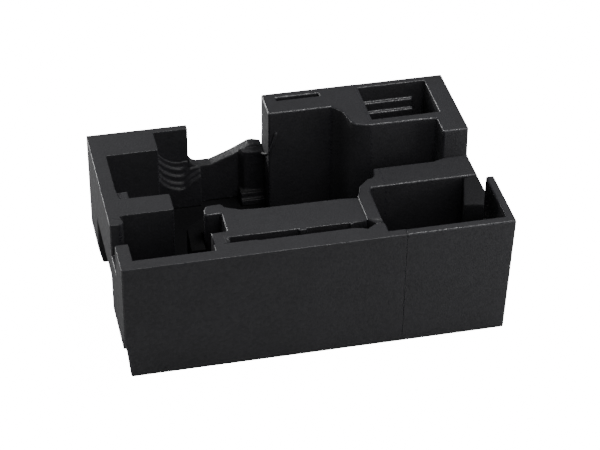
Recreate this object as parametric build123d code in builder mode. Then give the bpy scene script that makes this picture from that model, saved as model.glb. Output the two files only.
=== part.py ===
from build123d import *
import os

# Moulded foam organiser tray, built from bonded foam sections.
# Millimetres. X runs to the right along the front wall, Y to the back, Z up.
# The origin is under the middle of the whole tray, on the face it stands on.
# Outlines below are measured from the front left corner of that face.

# ---------- driving dimensions ----------
width = 400.0  # front wall, left end to right end, at the rim
depth = 245.0  # front face to back face, at the rim
rim_height = 140.0  # walls, shelf and both uprights
tower_height = 173.0  # tall block at the rear right
bridge_height = 138.5  # low right-hand end of the middle bridge
notch_height = 103.0  # sill of the finger notch in the left wall

# ---------- walls ----------
front_wall = 14.5  # front wall beside the left pocket
slot_wall = 24.0  # front wall in front of the long slot
panel_wall = 10.0  # front wall in front of the right pocket, at the rim
left_wall = 15.0
upright_wall = 8.7  # thin upright at the right end, at the rim
upright_foot = 12.0  # the same upright at the pocket's floor
seam_x = 287.0  # joint between the two halves of the front wall
side_inset = 16.0  # right face behind the upright stands in by this much

# ---------- floors ----------
plate_top = 48.0  # floor of the middle well and the left pocket
bay_floor = 80.0  # floor of the square bay at the left
bay_skin = 8.0  # thickness of that floor
right_floor = 30.0  # floor of the right pocket
tower_floor = 90.0  # floor of the square pocket in the tall block
slit_floor = 125.0  # floor of the thin slit in the tall block
plate_back = 235.0  # back edge of the base plate

# ---------- mould draft and the stepped foot ----------
front_draft = 7.4  # the front face leans back by this much at the bottom
left_draft = 2.9  # set-back of the front wall's left end at the skirt line
draft_top = 46.0  # height where that set-back begins
right_draft = 4.2
skirt = 31.0  # the outer left face ends at this height
foot_lift = 12.0  # the rear left leg stops short of the ground
foot_step = 4.0  # and steps in by this much

# ---------- cut-out under the left wall ----------
arch_front = 84.0
arch_back = 190.0
arch_top = bay_floor - bay_skin
arch_inner_front = 100.0
arch_inner_side = 54.0
bay_right = 70.0  # right-hand edge of the bay's floor

# ---------- glued joints ----------
key_height = 6.0  # tongues on the base plate that the sections drop on to
lap_length = 10.0  # half lap in the front wall, at the seam
lap_depth = panel_wall / 2
lap_bottom = 64.0
lap_top = 124.0

os.makedirs("parts", exist_ok=True)


def level(height):
    """Horizontal plane with its origin over the front left corner."""
    return Plane((-width / 2, -depth / 2, height))


def outline(points, plane):
    """Face of a closed outline on a plane."""
    with BuildSketch(plane) as face:
        with BuildLine():
            Polyline(*points, close=True)
        make_face()
    return face.sketch


def rectangle(left, right, front, back):
    """Corner points of an upright rectangle."""
    return [(left, front), (right, front), (right, back), (left, back)]


def block(points, bottom, top, mode=Mode.ADD):
    """Plan outline raised from one height to another."""
    extrude(outline(points, level(bottom)), amount=top - bottom, mode=mode)


def bar(points, front, back, mode=Mode.ADD):
    """Outline in X and Z, run from the front to the back."""
    plane = Plane((-width / 2, -depth / 2 + back, 0), x_dir=(1, 0, 0), z_dir=(0, -1, 0))
    extrude(outline(points, plane), amount=back - front, mode=mode)


def rail(points, left, right, mode=Mode.ADD):
    """Outline in Y and Z, run from the left to the right."""
    plane = Plane((-width / 2 + left, -depth / 2, 0), x_dir=(0, 1, 0), z_dir=(1, 0, 0))
    extrude(outline(points, plane), amount=right - left, mode=mode)


def key(place, mode=Mode.ADD):
    """Tongue on the base plate, or its groove in the section above it."""
    block(rectangle(*place), plate_top, plate_top + key_height, mode)


def finish(section, name):
    """Label a section and write its file."""
    section.part.label = name
    export_step(section.part, f"parts/{name}.step")


# Tongues, each as left, right, front, back.
left_key = (22.0, 60.0, 214.0, 222.0)
rib_key = (58.0, 66.0, 98.0, 114.0)
tower_key = (200.0, 270.0, 206.0, 214.0)
tower_side_key = (366.0, 374.0, 140.0, 220.0)
shelf_key = (290.0, 345.0, 101.0, 109.0)
bridge_key = (130.0, 240.0, 50.0, 58.0)
saddle_key = (84.0, 116.0, 226.0, 232.0)
all_keys = [left_key, rib_key, tower_key, tower_side_key, shelf_key, bridge_key, saddle_key]

# ---------- base plate ----------
# Thick slab that closes the underside. Its top is the floor of the wells.
plate_left = left_wall - 1.0
plate_right = width - side_inset
upright_back = 83.0
plate_outline = [
    (plate_left, front_wall),
    (width - upright_foot, front_wall),
    (width - upright_foot, upright_back),
    (plate_right, upright_back),
    (plate_right, plate_back),
    (plate_left, plate_back),
]
pocket_left = 270.0
pocket_back = 88.0
with BuildPart() as base_plate:
    block(plate_outline, 0, plate_top)
    # Right pocket is sunk into the plate.
    block(rectangle(pocket_left, width, 0, pocket_back), right_floor, plate_top, Mode.SUBTRACT)
    # Cut-out and relief under the left wall.
    block(rectangle(0, arch_inner_side, arch_inner_front, arch_back), 0, plate_top, Mode.SUBTRACT)
    block(rectangle(0, arch_inner_side, arch_back, depth), 0, foot_lift, Mode.SUBTRACT)
    for place in all_keys:
        key(place)
finish(base_plate, "base_plate")

# ---------- left tray ----------
# Front wall up to the seam, left wall, divider rib, square bay and rear corner.
bridge_left = 96.0
left_upright_back = 43.0
wall_end = 77.0
left_upright = 13.5
bay_front = 121.5
bay_back = 202.5
thin_back = 236.0  # front face of the thin rear wall
stub_end = 106.8  # the rear wall stops here, at the saddle
rib_front = 92.0
rib_end = 68.0
slot_front = 22.5
front_outline = [
    (0, 0),
    (seam_x, 0),
    (seam_x, front_wall),
    (pocket_left, front_wall),
    (pocket_left, slot_wall),
    (258.5, slot_wall),
    (251.0, 18.5),
    (245.0, 21.0),
    (238.0, slot_front),
    (142.0, slot_front),
    (138.0, slot_wall),
    (bridge_left, slot_wall),
    (bridge_left, front_wall),
    (0, front_wall),
]
left_outline = [
    (0, wall_end),
    (11.0, wall_end),
    (14.5, 81.0),
    (12.5, 91.0),
    (17.0, rib_front),
    (rib_end, rib_front),
    (rib_end, bay_front - 1.0),
    (17.0, bay_front),
    (left_wall, 142.0),
    (left_wall, bay_back),
    (bay_right, bay_back),
    (bay_right, thin_back),
    (stub_end, thin_back),
    (stub_end, depth - 1.0),
    (0, depth),
]
# The right pocket widens towards its mouth, at the front and at the right.
pocket_front_draft = [(panel_wall, rim_height), (front_wall, rim_height), (front_wall, right_floor)]
with BuildPart() as left_tray:
    block(front_outline, plate_top, rim_height)
    block(rectangle(0, seam_x, 0, front_wall), 0, plate_top)
    block(rectangle(0, left_upright, 0, left_upright_back), skirt, rim_height)
    block(rectangle(0, left_upright, left_upright_back, wall_end + 10.0), skirt, notch_height)
    block(left_outline, plate_top, rim_height)
    # Floor of the bay and the web that carries its right-hand edge.
    block(rectangle(0, bay_right, bay_front - 2.0, bay_back + 2.0), arch_top, bay_floor)
    block(rectangle(arch_inner_side, bay_right, bay_front - 2.0, bay_back + 2.0), plate_top, bay_floor)
    # Outer skins that lap over the edges of the base plate.
    block(rectangle(0, plate_left, wall_end, arch_front), skirt, plate_top)
    block(rectangle(0, plate_left, arch_back, depth), foot_lift, plate_top)
    block(rectangle(0, stub_end, plate_back, depth), foot_lift, plate_top)
    # Cut-out under the left wall.
    block(rectangle(0, plate_left, arch_front, arch_back), 0, arch_top, Mode.SUBTRACT)
    block(rectangle(0, arch_inner_side, arch_inner_front, arch_back), 0, arch_top, Mode.SUBTRACT)
    # The leg steps in below the skirt line.
    bar([(0, skirt), (foot_step, foot_lift), (0, foot_lift)], arch_back, depth, Mode.SUBTRACT)
    # Mould draft of the front face and of the left end of the front wall.
    rail([(0, rim_height), (0, 0), (front_draft, 0)], 0, seam_x, Mode.SUBTRACT)
    bar([(0, draft_top), (0, 0), (2 * left_draft, 0), (left_draft, skirt)], 0, front_wall, Mode.SUBTRACT)
    rail(pocket_front_draft, pocket_left, seam_x, Mode.SUBTRACT)
    # Half lap at the seam.
    block(rectangle(seam_x - lap_length, seam_x, lap_depth, front_wall), lap_bottom, lap_top, Mode.SUBTRACT)
    key(left_key, Mode.SUBTRACT)
    key(rib_key, Mode.SUBTRACT)
finish(left_tray, "left_tray")

# ---------- right panel ----------
# Right-hand end of the front wall, with the thin upright at its end.
upright_inner = width - upright_foot
panel_outline = [
    (seam_x, 0),
    (width, 0),
    (width, upright_back),
    (upright_inner, upright_back),
    (upright_inner, front_wall),
    (seam_x, front_wall),
]
upright_draft = [
    (upright_inner, right_floor),
    (upright_inner, rim_height),
    (width - upright_wall, rim_height),
]
with BuildPart() as right_panel:
    block(panel_outline, 0, rim_height)
    rail([(0, rim_height), (0, 0), (front_draft, 0)], seam_x, width, Mode.SUBTRACT)
    bar([(width, rim_height), (width, 0), (width - right_draft, 0)], 0, upright_back, Mode.SUBTRACT)
    # Half lap at the seam.
    block(rectangle(seam_x - lap_length, seam_x, lap_depth, front_wall), lap_bottom, lap_top)
    # The pocket widens towards its mouth.
    rail(pocket_front_draft, seam_x - lap_length, upright_inner, Mode.SUBTRACT)
    bar(upright_draft, panel_wall, upright_back, Mode.SUBTRACT)
finish(right_panel, "right_panel")

# ---------- shelf block ----------
# Narrow rim beside the bridge, and the broad shelf behind the right pocket.
bridge_right = 254.0
shelf_back = 121.5
tower_front = 125.0
shelf_outline = [
    (bridge_right, slot_wall),
    (pocket_left - 1.0, slot_wall),
    (pocket_left - 1.0, 84.0),
    (pocket_left + 1.5, pocket_back),
    (plate_right, pocket_back),
    (plate_right, tower_front),
    (355.0, tower_front),
    (346.0, shelf_back),
    (281.5, shelf_back),
    (279.5, 108.5),
    (275.0, 105.0),
    (271.5, 104.5),
    (260.0, 93.0),
    (257.5, 83.5),
    (bridge_right, 76.0),
]
diamond = [
    (bridge_right, slot_wall),
    (258.5, slot_wall),
    (262.0, 25.5),
    (259.5, 29.5),
    (255.5, 33.5),
    (bridge_right, 34.5),
]
slot_floor = 70.0
with BuildPart() as shelf_block:
    block(shelf_outline, plate_top, rim_height)
    block(diamond, slot_floor, rim_height, Mode.SUBTRACT)
    key(shelf_key, Mode.SUBTRACT)
finish(shelf_block, "shelf_block")

# ---------- tall block ----------
# Tower at the rear right, with a square pocket and a thin slit in its top.
tower_left = 186.5
tower_outline = [
    (tower_left, plate_back),
    (tower_left, 196.0),
    (254.0, 196.0),
    (263.0, 186.0),
    (267.5, 163.0),
    (272.0, 157.0),
    (286.0, 153.0),
    (338.0, 152.5),
    (356.5, 151.0),
    (357.0, tower_front),
    (plate_right, tower_front),
    (plate_right, plate_back),
]
square_pocket = (290.0, 363.0, 163.5, 226.0)
thin_slit = (200.5, 247.0, 220.0, 225.5)
ledges = [(154.0, 4.0), (144.0, 8.0)]  # height and reach of the two ledges
ledge_run = (290.0, 350.0)
with BuildPart() as tall_block:
    block(tower_outline, plate_top, tower_height)
    block(rectangle(*square_pocket), tower_floor, tower_height, Mode.SUBTRACT)
    block(rectangle(*thin_slit), slit_floor, tower_height, Mode.SUBTRACT)
    for ledge_height, reach in ledges:
        block(rectangle(*ledge_run, square_pocket[3] - reach, square_pocket[3]), tower_floor, ledge_height)
    key(tower_key, Mode.SUBTRACT)
    key(tower_side_key, Mode.SUBTRACT)
finish(tall_block, "tall_block")

# ---------- middle bridge ----------
# Slightly sloping plateau with a hooked left end; the long slot is left in front of it.
slot_back = 33.5
slot_left = 113.0
bridge_outline = [
    (bridge_left, slot_wall),
    (slot_left, slot_wall),
    (slot_left, slot_back),
    (bridge_right, slot_back),
    (bridge_right, 76.0),
    (236.0, 77.5),
    (150.0, 77.5),
    (133.0, 79.0),
    (125.0, 83.0),
    (118.0, 86.0),
    (115.0, 92.0),
    (100.5, 91.5),
    (97.0, 85.5),
    (bridge_left, 77.0),
    (98.0, 75.0),
    (slot_left, 75.5),
    (slot_left, 44.5),
    (bridge_left + 0.5, 44.0),
]
nubs = [(184.0, 192.0, 2.5), (236.0, 240.0, 2.0)]  # left end, right end and reach into the slot
with BuildPart() as middle_bridge:
    block(bridge_outline, plate_top, rim_height)
    for left, right, reach in nubs:
        block(rectangle(left, right, slot_back - reach, slot_back), plate_top, rim_height)
    bar(
        [(slot_left, rim_height), (bridge_right, bridge_height), (bridge_right, rim_height)],
        0,
        depth,
        Mode.SUBTRACT,
    )
    key(bridge_key, Mode.SUBTRACT)
finish(middle_bridge, "middle_bridge")

# ---------- saddle rest ----------
# Ramp behind the middle well, and a ribbed trough that falls away from it.
ramp_front = 230.0
step_back = 219.5  # the low steps stand this far back
ramp_back = 243.0
trough_front = 222.0
trough_left = 70.0
trough_right = 118.0
trough_lows = [72.2, 77.8, 85.3, 92.9, 99.4]  # lowest height of each rib, from the front
rib_pitch = (thin_back - trough_front) / len(trough_lows)
left_rise = 27.0  # from a rib's lowest point up to its left end
shoulder_rise = 8.0
right_rise = 14.0
saddle_low = 95.0  # lowest point of the rear edge, where the trough meets the ramp
saddle_high = 100.0
ramp_outline = [
    (stub_end, plate_top),
    (tower_left, plate_top),
    (tower_left, 111.0),
    (178.0, 113.5),
    (172.5, 113.5),
    (154.0, 104.2),
    (131.0, saddle_low),
    (115.0, saddle_low),
    (110.5, 97.5),
    (stub_end, 103.0),
]
step_left = 160.0  # the wall stands forward from here to the tall block
lip_outline = [(step_left, ramp_front), (165.0, 222.0), (tower_left, 218.0), (tower_left, ramp_front)]
lip_height = 111.0
step_heights = [(62.0, 4.0), (55.0, 8.0)]  # two low steps at the foot of the ramp


def trough_section(front, low):
    """One rib of the trough: a round-bottomed notch in a flat plate."""
    plane = Plane(
        (-width / 2, -depth / 2 + front + rib_pitch, 0), x_dir=(1, 0, 0), z_dir=(0, -1, 0)
    )
    with BuildSketch(plane) as section:
        with BuildLine():
            ThreePointArc((trough_left, low + left_rise), (79.0, low + 8.0), (97.0, low))
            Polyline(
                (97.0, low),
                (101.0, low + 1.0),
                (stub_end, max(low + 1.0, min(low + shoulder_rise, saddle_high))),
                (117.0, min(low + right_rise, saddle_low)),
                (trough_right, min(low + right_rise, saddle_low)),
                (trough_right, plate_top),
                (trough_left, plate_top),
                (trough_left, low + left_rise),
            )
        make_face()
    extrude(section.sketch, amount=rib_pitch)


with BuildPart() as saddle_rest:
    bar(ramp_outline, ramp_front, ramp_back)
    block(lip_outline, plate_top, lip_height)
    for rib, low in enumerate(trough_lows):
        trough_section(trough_front + rib * rib_pitch, low)
    for step_height, reach in step_heights:
        block(rectangle(step_left, tower_left, step_back - reach, ramp_front), plate_top, step_height)
    # The rear strip stands behind the base plate and reaches down past its edge.
    block(rectangle(stub_end, tower_left, plate_back, ramp_back), foot_lift, plate_top)
    key(saddle_key, Mode.SUBTRACT)
finish(saddle_rest, "saddle_rest")

# ---------- small bonded pads ----------
corner_pad_outline = [(17.0, bay_front), (27.0, bay_front), (27.0, 136.0), (15.7, 136.0)]
corner_pad_top = 138.0
with BuildPart() as corner_pad:
    block(corner_pad_outline, bay_floor, corner_pad_top)
finish(corner_pad, "corner_pad")

step_outline = [(80.0, 64.0), (95.0, 64.0), (95.0, 93.0), (106.0, 93.0), (106.0, 124.0), (82.0, 104.0)]
step_top = 106.0
with BuildPart() as pocket_step:
    block(step_outline, plate_top, step_top)
finish(pocket_step, "pocket_step")

end_pad_left = 350.0
end_pad_outline = [
    (369.5, pocket_back),
    (357.0, 43.0),
    (376.0, 36.0),
    (plate_right, 59.0),
    (plate_right, pocket_back),
]
end_pad_low = 136.0  # the pad's top slopes down to this at its left
end_pad_slope = [(plate_right, rim_height), (end_pad_left, end_pad_low), (end_pad_left, rim_height)]
with BuildPart() as pocket_end_pad:
    block(end_pad_outline, right_floor, rim_height)
    bar(end_pad_slope, 0, depth, Mode.SUBTRACT)
finish(pocket_end_pad, "pocket_end_pad")
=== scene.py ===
import math

import bmesh
import bpy
from mathutils import Matrix, Vector, bvhtree


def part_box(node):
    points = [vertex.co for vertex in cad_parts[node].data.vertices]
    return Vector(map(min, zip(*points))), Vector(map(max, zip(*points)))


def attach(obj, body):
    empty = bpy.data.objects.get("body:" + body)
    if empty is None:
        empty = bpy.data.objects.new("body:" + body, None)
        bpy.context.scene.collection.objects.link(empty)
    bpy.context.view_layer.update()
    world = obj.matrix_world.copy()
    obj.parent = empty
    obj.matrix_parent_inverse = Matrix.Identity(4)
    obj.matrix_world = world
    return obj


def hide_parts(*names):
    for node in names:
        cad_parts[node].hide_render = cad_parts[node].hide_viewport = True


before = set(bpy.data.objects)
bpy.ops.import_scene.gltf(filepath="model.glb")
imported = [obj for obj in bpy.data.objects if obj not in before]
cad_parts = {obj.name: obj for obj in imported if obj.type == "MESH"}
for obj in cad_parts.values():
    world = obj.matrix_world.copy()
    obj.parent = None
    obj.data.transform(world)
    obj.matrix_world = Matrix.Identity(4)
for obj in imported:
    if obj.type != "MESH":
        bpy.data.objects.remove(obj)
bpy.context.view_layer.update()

# ---------------------------------------------------------------------------
# Base plate
# A thick slab of moulded bead foam that closes the underside. Its top is the floor of the
# deep wells. The other sections drop on to tongues on its top and are bonded there.

main_radius = 0.0019  # how far the mould rounds an open edge
edge_steps = 3  # flats that make up a rounded edge
room_share = 0.4  # part of the length beside an edge that its rounding may take
sharp_angle = math.radians(40)  # an edge sharper than this is rounded
smooth_angle = math.radians(40)  # and one softer than this is shaded smooth
flat_angle = math.radians(0.6)
weld_gap = 0.00001
sliver = 0.00015  # shorter edges than this are closed up
touch_gap = 0.00025  # a face this close to a neighbour is bonded to it
ray_step = 0.000001
most_crossings = 64
seam_place = 0.0870  # where the bond line crosses the front wall
seam_round = 0.0007  # rounding of the two edges that meet there


def only(obj):
    """Select one object and nothing else."""
    bpy.ops.object.select_all(action="DESELECT")
    obj.select_set(True)
    bpy.context.view_layer.objects.active = obj


def solid_tree(obj):
    """Search tree of an object's surface."""
    mesh = obj.data
    points = [v.co.copy() for v in mesh.vertices]
    return bvhtree.BVHTree.FromPolygons(points, [list(p.vertices) for p in mesh.polygons])


def inside(tree, point):
    """True when a ray from the point crosses a closed surface an odd number of times."""
    direction = Vector((0.3713, 0.5571, 0.7427))
    crossings = 0
    start = point.copy()
    while crossings < most_crossings:
        hit, normal, face, distance = tree.ray_cast(start, direction)
        if hit is None:
            break
        crossings += 1
        start = hit + direction * ray_step
    return crossings % 2 == 1


node_trees = {name: solid_tree(node) for name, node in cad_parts.items()}


def open_edges(mesh, node):
    """Sharp edges of a section whose two faces both stand in free air."""
    others = [tree for name, tree in node_trees.items() if name != node]
    found = set()
    for edge in mesh.edges:
        if len(edge.link_faces) != 2 or edge.calc_face_angle(0) < sharp_angle:
            continue
        middle = (edge.verts[0].co + edge.verts[1].co) / 2
        one, two = [face.normal for face in edge.link_faces]
        side = -1 if edge.is_convex else 1
        probes = [
            middle + own * touch_gap + other * side * touch_gap * 2
            for own, other in ((one, two), (two, one))
        ]
        if not any(inside(tree, probe) for tree in others for probe in probes):
            found.add(edge)
    return found


def room_at(vertex, edge, rounded, radius):
    """How wide a rounding may be at one end of an edge, from the lengths of the edges beside it."""
    along = (edge.other_vert(vertex).co - vertex.co).normalized()
    room = radius
    for beside in vertex.link_edges:
        if beside == edge:
            continue
        away = (beside.other_vert(vertex).co - vertex.co).normalized()
        runs_on = along.dot(away) < -0.8
        if beside in rounded and runs_on:
            continue
        room = min(room, beside.calc_length() * room_share)
    return room


def on_bond_line(edge):
    """True for an edge of the front wall or its rim that lies in the plane of the seam."""
    in_plane = all(abs(vertex.co.x - seam_place) < touch_gap for vertex in edge.verts)
    return in_plane and any(
        abs(face.normal.x) < 0.5 and (face.normal.y < -0.5 or face.normal.z > 0.5)
        for face in edge.link_faces
    )


def cut_at_neighbours(node):
    """Cut the mesh in edit mode where a touching neighbour's box ends, so no edge is half open."""
    low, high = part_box(node)
    planes = set()
    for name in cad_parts:
        if name == node:
            continue
        other_low, other_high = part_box(name)
        if any(
            other_low[axis] > high[axis] + touch_gap or other_high[axis] < low[axis] - touch_gap
            for axis in range(3)
        ):
            continue
        for corner in (other_low, other_high):
            for axis in range(3):
                if low[axis] + touch_gap < corner[axis] < high[axis] - touch_gap:
                    planes.add((axis, round(corner[axis], 5)))
    for axis, place in sorted(planes):
        point = [0, 0, 0]
        normal = [0, 0, 0]
        point[axis] = place
        normal[axis] = 1
        bpy.ops.mesh.select_all(action="SELECT")
        bpy.ops.mesh.bisect(plane_co=point, plane_no=normal)


def foam_section(node, radius, face_foam):
    """Copy of a moulded section, with its open edges rounded and its bonded edges left square."""
    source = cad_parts[node]
    piece = bpy.data.objects.new(node + "_foam", source.data.copy())
    bpy.context.scene.collection.objects.link(piece)
    piece.data.materials.clear()
    only(piece)
    bpy.ops.object.mode_set(mode="EDIT")
    bpy.ops.mesh.select_all(action="SELECT")
    bpy.ops.mesh.remove_doubles(threshold=weld_gap)
    bpy.ops.mesh.dissolve_limited(angle_limit=flat_angle)
    cut_at_neighbours(node)
    bpy.ops.mesh.select_all(action="SELECT")
    bpy.ops.mesh.remove_doubles(threshold=sliver)
    bpy.ops.object.mode_set(mode="OBJECT")
    mesh = bmesh.new()
    mesh.from_mesh(piece.data)
    weight = mesh.edges.layers.float.new("bevel_weight_edge")
    rounded = open_edges(mesh, node)
    for edge in rounded:
        room = min(room_at(vertex, edge, rounded, radius) for vertex in edge.verts)
        edge[weight] = min(1, room / radius)
    for edge in mesh.edges:
        if on_bond_line(edge):
            edge[weight] = seam_round / radius
    mesh.to_mesh(piece.data)
    mesh.free()
    bevel = piece.modifiers.new("rounded edges", "BEVEL")
    bevel.limit_method = "WEIGHT"
    bevel.width = radius
    bevel.segments = edge_steps
    bevel.use_clamp_overlap = False
    piece.data.materials.append(face_foam)
    piece.data.materials.append(edge_highlight_foam)
    # The rounded strips' lighter tone is a painted highlight.
    bevel.material = 1  # the rounded strips take the glossier edge foam
    only(piece)
    bpy.ops.object.modifier_apply(modifier=bevel.name)
    bpy.ops.object.shade_smooth_by_angle(angle=smooth_angle)
    even = piece.modifiers.new("flat faces stay flat", "WEIGHTED_NORMAL")
    even.keep_sharp = True
    even.weight = 100
    bpy.ops.object.modifier_apply(modifier=even.name)
    return piece


bead_scale = 330  # beads of about 3 mm
skin_scale = 900
cloud_scale = 28
bead_contrast = 0.35
# Painted shade: low faces that look up are mixed towards this near-black tone.
floor_shade_tone = (0.001, 0.001, 0.0012)
floor_height = 0.06  # faces that look up are blackest below this height
shade_fade_height = 0.128  # and have the foam's own tone from here up


def foam(name, tone, matt, gloss, dent, shine=0.5):
    """Black moulded bead foam: pressed beads with faint joints, and a fine dusty skin.

    Every bead has its own tone and sheen; matt and gloss are the roughest and the smoothest bead.
    Low faces that look up, such as floors of wells, are mixed towards a deeper black: painted shade.
    """
    material = bpy.data.materials.new(name)
    material.use_nodes = True
    nodes, links = material.node_tree.nodes, material.node_tree.links
    shader = nodes["Principled BSDF"]
    place = nodes.new("ShaderNodeTexCoord")
    beads = nodes.new("ShaderNodeTexVoronoi")
    beads.inputs["Scale"].default_value = bead_scale
    joints = nodes.new("ShaderNodeTexVoronoi")
    joints.feature = "DISTANCE_TO_EDGE"
    joints.inputs["Scale"].default_value = bead_scale
    skin = nodes.new("ShaderNodeTexNoise")
    skin.inputs["Scale"].default_value = skin_scale
    skin.inputs["Detail"].default_value = 4
    cloud = nodes.new("ShaderNodeTexNoise")
    cloud.inputs["Scale"].default_value = cloud_scale
    cloud.inputs["Detail"].default_value = 3
    for node in (beads, joints, skin, cloud):
        links.new(place.outputs["Object"], node.inputs["Vector"])
    own = nodes.new("ShaderNodeSeparateColor")
    links.new(beads.outputs["Color"], own.inputs["Color"])
    shade = nodes.new("ShaderNodeMath")
    shade.operation = "MULTIPLY_ADD"
    links.new(own.outputs["Red"], shade.inputs[0])
    shade.inputs[1].default_value = bead_contrast
    links.new(cloud.outputs["Fac"], shade.inputs[2])
    colour = nodes.new("ShaderNodeValToRGB")
    dark, light = colour.color_ramp.elements
    dark.position = 0.3
    light.position = 1.0
    dark.color = [c * 0.84 for c in tone] + [1]
    light.color = [c * 1.2 for c in tone] + [1]
    links.new(shade.outputs[0], colour.inputs["Fac"])
    facing = nodes.new("ShaderNodeSeparateXYZ")
    links.new(place.outputs["Normal"], facing.inputs["Vector"])
    upward = nodes.new("ShaderNodeMapRange")
    upward.inputs["From Min"].default_value = 0.3
    upward.inputs["From Max"].default_value = 0.8
    links.new(facing.outputs["Z"], upward.inputs["Value"])
    height = nodes.new("ShaderNodeSeparateXYZ")
    links.new(place.outputs["Object"], height.inputs["Vector"])
    depth = nodes.new("ShaderNodeMapRange")
    depth.inputs["From Min"].default_value = floor_height
    depth.inputs["From Max"].default_value = shade_fade_height
    depth.inputs["To Min"].default_value = 0.75
    depth.inputs["To Max"].default_value = 0
    links.new(height.outputs["Z"], depth.inputs["Value"])
    # Painted shade: mask of the low faces that look up, which turns them near-black.
    painted_floor_shade = nodes.new("ShaderNodeMath")
    painted_floor_shade.operation = "MULTIPLY"
    links.new(upward.outputs["Result"], painted_floor_shade.inputs[0])
    links.new(depth.outputs["Result"], painted_floor_shade.inputs[1])
    floor_shade_mix = nodes.new("ShaderNodeMix")
    floor_shade_mix.data_type = "RGBA"
    links.new(painted_floor_shade.outputs[0], floor_shade_mix.inputs["Factor"])
    links.new(colour.outputs["Color"], floor_shade_mix.inputs["A"])
    floor_shade_mix.inputs["B"].default_value = (*floor_shade_tone, 1)
    links.new(floor_shade_mix.outputs["Result"], shader.inputs["Base Color"])
    sheen = nodes.new("ShaderNodeMath")
    sheen.operation = "MULTIPLY_ADD"
    links.new(own.outputs["Green"], sheen.inputs[0])
    sheen.inputs[1].default_value = 0.7
    fleck = nodes.new("ShaderNodeMath")
    fleck.operation = "MULTIPLY"
    links.new(skin.outputs["Fac"], fleck.inputs[0])
    fleck.inputs[1].default_value = 0.3
    links.new(fleck.outputs[0], sheen.inputs[2])
    rough = nodes.new("ShaderNodeMapRange")
    rough.inputs["To Min"].default_value = gloss
    rough.inputs["To Max"].default_value = matt
    links.new(sheen.outputs[0], rough.inputs["Value"])
    links.new(rough.outputs["Result"], shader.inputs["Roughness"])
    shader.inputs["Specular IOR Level"].default_value = shine
    low = nodes.new("ShaderNodeBump")
    low.inputs["Distance"].default_value = dent
    low.inputs["Strength"].default_value = 0.6
    links.new(joints.outputs["Distance"], low.inputs["Height"])
    fine = nodes.new("ShaderNodeBump")
    fine.inputs["Distance"].default_value = 0.0001
    fine.inputs["Strength"].default_value = 0.35
    links.new(skin.outputs["Fac"], fine.inputs["Height"])
    links.new(low.outputs["Normal"], fine.inputs["Normal"])
    links.new(fine.outputs["Normal"], shader.inputs["Normal"])
    return material


def shaded(share):
    """The foam's own tone, made darker as painted shade and lighter as painted light."""
    return [channel * share for channel in body_tone]


body_tone = (0.0162, 0.016, 0.0185)
body_foam = foam("moulded bead foam", body_tone, matt=0.75, gloss=0.55, dent=0.0004)
# The edge foam is a lighter copy of the foam tone as a painted highlight; its lower roughness is real
# gloss.
edge_highlight_foam = foam("moulded bead foam edge with painted highlight", shaded(1.4), matt=0.5, gloss=0.18, dent=0.0008)


def dress(piece, node):
    """Fix a section to the one body, and hide the CAD node that it stands for."""
    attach(piece, "root")
    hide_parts(node)


# The base takes a slightly darker copy of the foam tone: painted shade.
base_shaded_foam = foam("moulded bead foam of the base, painted shade", shaded(0.95), matt=0.75, gloss=0.55, dent=0.0004)
# Painted shade: the floors of the wells take a much darker copy of the foam tone.
floor_shade_foam = foam(
    "bead foam of the well floors, painted shade", shaded(0.6), matt=0.9, gloss=0.7, dent=0.0005, shine=0.12
)
base_plate = foam_section("base_plate", main_radius, base_shaded_foam)
base_plate.data.materials.append(floor_shade_foam)
# Faces of the base that look up, the well floors, take that darker copy: painted shade.
for face in base_plate.data.polygons:
    looks_up = face.normal.z > 0.9
    if looks_up and face.material_index == 0:
        face.material_index = 2
dress(base_plate, "base_plate")

# ---------------------------------------------------------------------------
# Left tray
# The front wall up to the seam, the left wall, the rib, the square bay and the rear left
# corner. It is built as one moulding of bead foam, glued over tongues of the base plate.

left_tray = foam_section("left_tray", main_radius, body_foam)
dress(left_tray, "left_tray")

# ---------------------------------------------------------------------------
# Tall block
# The tower at the rear right, with a square pocket, low ribs in the pocket and a thin slit
# beside it. It is a block of moulded bead foam, glued over tongues of the base plate.

tall_block = foam_section("tall_block", main_radius, body_foam)
dress(tall_block, "tall_block")

# ---------------------------------------------------------------------------
# Middle bridge
# The slightly lower plateau with the hooked left end, which stands behind the long slot in
# the front wall. It is moulded bead foam too, glued over its own tongue of the base plate.

middle_bridge = foam_section("middle_bridge", main_radius, body_foam)
dress(middle_bridge, "middle_bridge")

# ---------------------------------------------------------------------------
# Right panel
# The front wall to the right of the seam, with the thin upright at its end. It overlaps the
# left tray's front wall in a glued half lap, and the bond line shows as a fine dark line.

right_panel = foam_section("right_panel", main_radius, body_foam)
dress(right_panel, "right_panel")

# ---------------------------------------------------------------------------
# Shelf block
# The narrow rim beside the bridge and the broad shelf behind the right pocket. It is a plain
# block of moulded bead foam, glued over its tongue of the base plate.

shelf_block = foam_section("shelf_block", main_radius, body_foam)
dress(shelf_block, "shelf_block")

# ---------------------------------------------------------------------------
# Saddle rest
# The rest in the rear wall, with a ramp, a ribbed trough and two low steps. Its forms run
# into one another as they do in a mould, and a thin lip climbs the tall block beside it.


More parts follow.
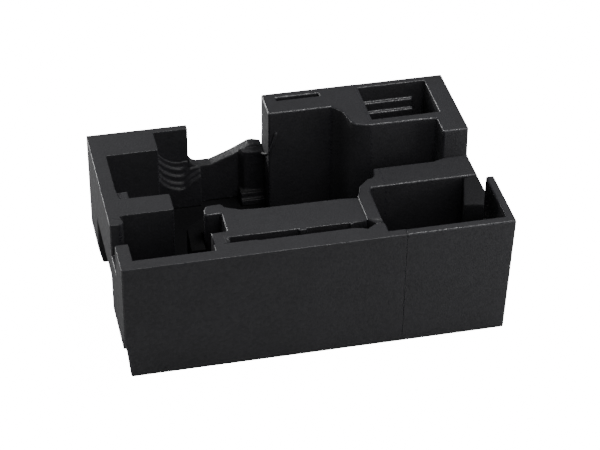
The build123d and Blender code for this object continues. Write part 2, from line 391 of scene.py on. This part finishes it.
def soft_section(node, material, voxel, smooth, extra=()):
    """Copy of a section with fine relief, with any extra solids fused on, rounded all over."""
    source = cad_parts[node]
    piece = bpy.data.objects.new(node + "_foam", source.data.copy())
    bpy.context.scene.collection.objects.link(piece)
    piece.data.materials.clear()
    only(piece)
    bpy.ops.object.mode_set(mode="EDIT")
    bpy.ops.mesh.select_all(action="SELECT")
    bpy.ops.mesh.remove_doubles(threshold=weld_gap)
    bpy.ops.object.mode_set(mode="OBJECT")
    for solid in extra:
        solid.select_set(True)
    if extra:
        bpy.ops.object.join()
    piece.data.remesh_voxel_size = voxel
    bpy.ops.object.voxel_remesh()
    soften = piece.modifiers.new("soft edges", "SMOOTH")
    soften.factor = 0.5
    soften.iterations = smooth
    bpy.ops.object.modifier_apply(modifier=soften.name)
    bpy.ops.object.shade_smooth()
    piece.data.materials.append(material)
    return piece


half_width = 200
half_depth = 122.5


def at(x, y, z):
    """Place measured in millimetres from the front left corner of the underside."""
    return Vector((x - half_width, y - half_depth, z)) / 1000


def lip_stretch(start, end):
    """One straight stretch of the lip: a solid drawn tight around a small ball at each end."""
    bpy.ops.object.select_all(action="DESELECT")
    bpy.ops.mesh.primitive_ico_sphere_add(subdivisions=2, radius=lip_ball, location=start)
    stretch = bpy.context.object
    bpy.ops.object.transform_apply(location=True, rotation=True, scale=True)
    bpy.ops.object.mode_set(mode="EDIT")
    bpy.ops.mesh.primitive_ico_sphere_add(subdivisions=2, radius=lip_ball, location=end)
    bpy.ops.mesh.select_all(action="SELECT")
    bpy.ops.mesh.convex_hull()
    bpy.ops.object.mode_set(mode="OBJECT")
    return stretch


lip_ball = 0.0016  # the lip's half thickness
lip_run = [
    at(184, 217, 110),
    at(186, 209, 114),
    at(187, 202, 119),
    at(188.5, 196.5, 126),
    at(191.5, 195, 136),
    at(194.5, 195, 148),
]
lip_solids = [lip_stretch(start, end) for start, end in zip(lip_run, lip_run[1:])]
# The saddle and the square pad take a lighter copy of the foam tone: painted light on the lit ramp.
saddle_lit_foam = foam("moulded bead foam of the saddle, painted light", shaded(1.15), matt=0.72, gloss=0.45, dent=0.0009)
saddle_cell = 0.0009
saddle_rest = soft_section("saddle_rest", saddle_lit_foam, saddle_cell, 4, lip_solids)
dress(saddle_rest, "saddle_rest")

# ---------------------------------------------------------------------------
# Pads
# Three small pads of softer bead foam, set against the pocket walls and glued: a square one
# in the bay, a low step beside the left pocket and a sloped one in the right pocket.

pad_cell = 0.0009
end_pad_cell = 0.0012
# The end pad and the low step take darker copies of the foam tone: painted shade.
pad_shaded_foam = foam("softer pad foam, painted shade", shaded(0.5), matt=0.85, gloss=0.6, dent=0.0006, shine=0.3)
step_shaded_foam = foam("softer step foam, painted shade", shaded(0.2), matt=0.9, gloss=0.7, dent=0.0006, shine=0.12)
corner_pad = soft_section("corner_pad", saddle_lit_foam, pad_cell, 6)
pocket_step = soft_section("pocket_step", step_shaded_foam, pad_cell, 6)
pocket_end_pad = soft_section("pocket_end_pad", pad_shaded_foam, end_pad_cell, 12)
for pad, node in (
    (corner_pad, "corner_pad"),
    (pocket_step, "pocket_step"),
    (pocket_end_pad, "pocket_end_pad"),
):
    dress(pad, node)

# ---------------------------------------------------------------------------
# Studio
# A pale floor and a pale surround, soft lights from the left, from above and from the front
# right, and the camera.

studio_white = 16.0  # brightness of the pale surround as the camera sees it
surround_light = 0.19  # brightness that the surround casts on the object


def seen_bright(nodes, links, lit, bright, output):
    """Show a bright shader to the camera and a dim one to everything else."""
    path = nodes.new("ShaderNodeLightPath")
    mix = nodes.new("ShaderNodeMixShader")
    links.new(path.outputs["Is Camera Ray"], mix.inputs["Fac"])
    links.new(lit, mix.inputs[1])
    links.new(bright, mix.inputs[2])
    links.new(mix.outputs["Shader"], output)


bpy.ops.object.select_all(action="DESELECT")
bpy.ops.mesh.primitive_plane_add(size=12, location=(0, 0, 0))
floor = bpy.context.object
floor.name = "floor"
paint = bpy.data.materials.new("pale floor")
paint.use_nodes = True
nodes, links = paint.node_tree.nodes, paint.node_tree.links
nodes["Principled BSDF"].inputs["Base Color"].default_value = (0.5, 0.5, 0.5, 1)
nodes["Principled BSDF"].inputs["Roughness"].default_value = 0.9
glow = nodes.new("ShaderNodeEmission")
glow.inputs["Strength"].default_value = studio_white
both = nodes.new("ShaderNodeAddShader")
links.new(nodes["Principled BSDF"].outputs["BSDF"], both.inputs[0])
links.new(glow.outputs["Emission"], both.inputs[1])
seen_bright(
    nodes,
    links,
    nodes["Principled BSDF"].outputs["BSDF"],
    both.outputs["Shader"],
    nodes["Material Output"].inputs["Surface"],
)
floor.data.materials.append(paint)

world = bpy.data.worlds.new("studio air")
bpy.context.scene.world = world
world.use_nodes = True
nodes, links = world.node_tree.nodes, world.node_tree.links
nodes["Background"].inputs["Color"].default_value = (0.95, 0.97, 1, 1)
nodes["Background"].inputs["Strength"].default_value = surround_light
wall = nodes.new("ShaderNodeBackground")
wall.inputs["Strength"].default_value = studio_white
seen_bright(
    nodes,
    links,
    nodes["Background"].outputs["Background"],
    wall.outputs["Background"],
    nodes["World Output"].inputs["Surface"],
)


def looking_down(azimuth, elevation):
    """Turn that aims at the object from an azimuth, counted from the front, and an elevation."""
    return Matrix.Rotation(math.radians(azimuth), 4, "Z") @ Matrix.Rotation(
        math.radians(90 - elevation), 4, "X"
    )


def soft_light(name, azimuth, elevation, distance, wide, tall, power):
    """Soft box that points at the object."""
    data = bpy.data.lights.new(name, "AREA")
    data.shape = "RECTANGLE"
    data.size = wide
    data.size_y = tall
    data.energy = power
    light = bpy.data.objects.new(name, data)
    bpy.context.scene.collection.objects.link(light)
    light.matrix_world = looking_down(azimuth, elevation) @ Matrix.Translation((0, 0, distance))


soft_light("left light", azimuth=-100, elevation=20, distance=1.6, wide=1.0, tall=0.5, power=4)
soft_light("back left panel", azimuth=-149, elevation=11, distance=1.7, wide=0.9, tall=0.5, power=21)
soft_light("top light", azimuth=60, elevation=78, distance=1.4, wide=0.6, tall=0.3, power=11.5)
soft_light("front light", azimuth=62, elevation=12, distance=0.78, wide=0.5, tall=0.5, power=2.6)
soft_light("front soft box", azimuth=30, elevation=42, distance=1.6, wide=1.6, tall=1.0, power=5)

camera_data = bpy.data.cameras.new("camera")
camera_data.lens = 133.08
camera_data.sensor_width = 36
camera = bpy.data.objects.new("camera", camera_data)
bpy.context.scene.collection.objects.link(camera)
camera_aim = Vector((0.00725, 0.01196, 0.07))
camera_azimuth = -12.473
camera_elevation = 35.478
camera_roll = 0.152
camera_distance = 2.3321
camera.matrix_world = (
    Matrix.Translation(camera_aim)
    @ looking_down(camera_azimuth, camera_elevation)
    @ Matrix.Rotation(math.radians(camera_roll), 4, "Z")
    @ Matrix.Translation((0, 0, camera_distance))
)
bpy.context.scene.camera = camera
